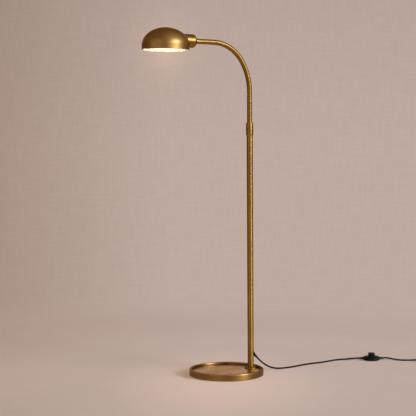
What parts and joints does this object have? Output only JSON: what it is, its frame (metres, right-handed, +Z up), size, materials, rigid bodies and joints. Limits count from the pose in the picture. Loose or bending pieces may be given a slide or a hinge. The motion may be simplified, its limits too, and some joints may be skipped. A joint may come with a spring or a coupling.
{
  "type": "task floor lamp",
  "caption": "Floor lamp with a round tray base, an off-centre post, a sliding bent arm with a lock collar, a turning dome shade and a mains lead with a foot switch.",
  "frame": {"origin": "centre of the round base on the floor", "axes": "+Z up along the post; the arm points to -X, and the lead leaves the post to +X"},
  "size_m": [1.2233, 0.3363, 1.2333],
  "materials": {
    "antique_brass": "aged satin brass, darker in the hollows",
    "shade_brass": "aged satin brass outside, white enamel inside",
    "plain_brass": "plain turned brass",
    "cast_iron": "raw casting",
    "steel": "zinc plated",
    "cap_metal": "pressed sheet",
    "nylon": "moulded",
    "porcelain": "glazed",
    "bulb_glass": "frosted, lit",
    "black_plastic": "fine moulded grain",
    "lead_jacket": "smooth satin jacket",
    "pad_felt": "felt"
  },
  "bodies": {
    "stand": {"base_tray": "antique_brass", "base_weight": "cast_iron", "base_pad": "pad_felt", "weight_screws": "steel", "post_flange": "antique_brass", "post_plug": "steel", "post_washer": "steel", "post_bolt": "steel", "lower_post": "antique_brass", "cord_bushing": "black_plastic", "post_lead": "lead_jacket", "lock_collet": "nylon", "cord_to_switch": "lead_jacket", "switch_plate": "black_plastic", "switch_cover": "black_plastic", "switch_screws": "steel", "switch_block": "nylon", "switch_spring": "steel", "switch_reliefs": "black_plastic", "cord_to_coil": "lead_jacket", "cord_coil": "lead_jacket", "cord_tie": "black_plastic", "plug_body": "black_plastic", "plug_blades": "plain_brass"},
    "lock_collar": {"lock_collar": "antique_brass"},
    "glide": {"glide_bush": "nylon"},
    "arm": {"arm_tube": "antique_brass", "arm_lead": "lead_jacket", "arm_tip_plug": "steel", "swivel_nipple": "steel", "swivel_washer": "nylon", "swivel_nut": "steel"},
    "head": {"swivel_plate": "steel", "socket_cup": "antique_brass", "lampholder_body": "porcelain", "lampholder_screws": "steel", "screw_shell": "plain_brass", "centre_contact": "plain_brass", "shade": "shade_brass", "shade_ring": "plain_brass", "bulb_cap": "cap_metal", "bulb_globe": "bulb_glass"},
    "button": {"switch_button": "black_plastic"}
  },
  "joints": [
    {"name": "collar_lock", "type": "hinge", "parent": "stand", "child": "lock_collar", "pos_m": [0.1, 0, 0.884], "axis": [0, 0, 1], "range_deg": [0, 120]},
    {"name": "height_slide", "type": "slide", "parent": "stand", "child": "glide", "axis": [0, 0, 1], "range_m": [-0.105, 0.17], "deforming": ["post_lead"]},
    {"name": "arm_swivel", "type": "hinge", "parent": "glide", "child": "arm", "pos_m": [0.1, 0, 0.694], "axis": [0, 0, 1], "range_deg": [-170, 170]},
    {"name": "shade_turn", "type": "hinge", "parent": "arm", "child": "head", "pos_m": [-0.2315, 0, 1.19078], "axis": [-0.9998, 0, 0.0175], "range_deg": [-90, 90]},
    {"name": "button_press", "type": "slide", "parent": "stand", "child": "button", "axis": [0, 0, 1], "range_m": [-0.004, 0], "stiffness_N_per_m": 800, "springref_m": 0.002, "deforming": ["switch_spring"]}
  ]
}
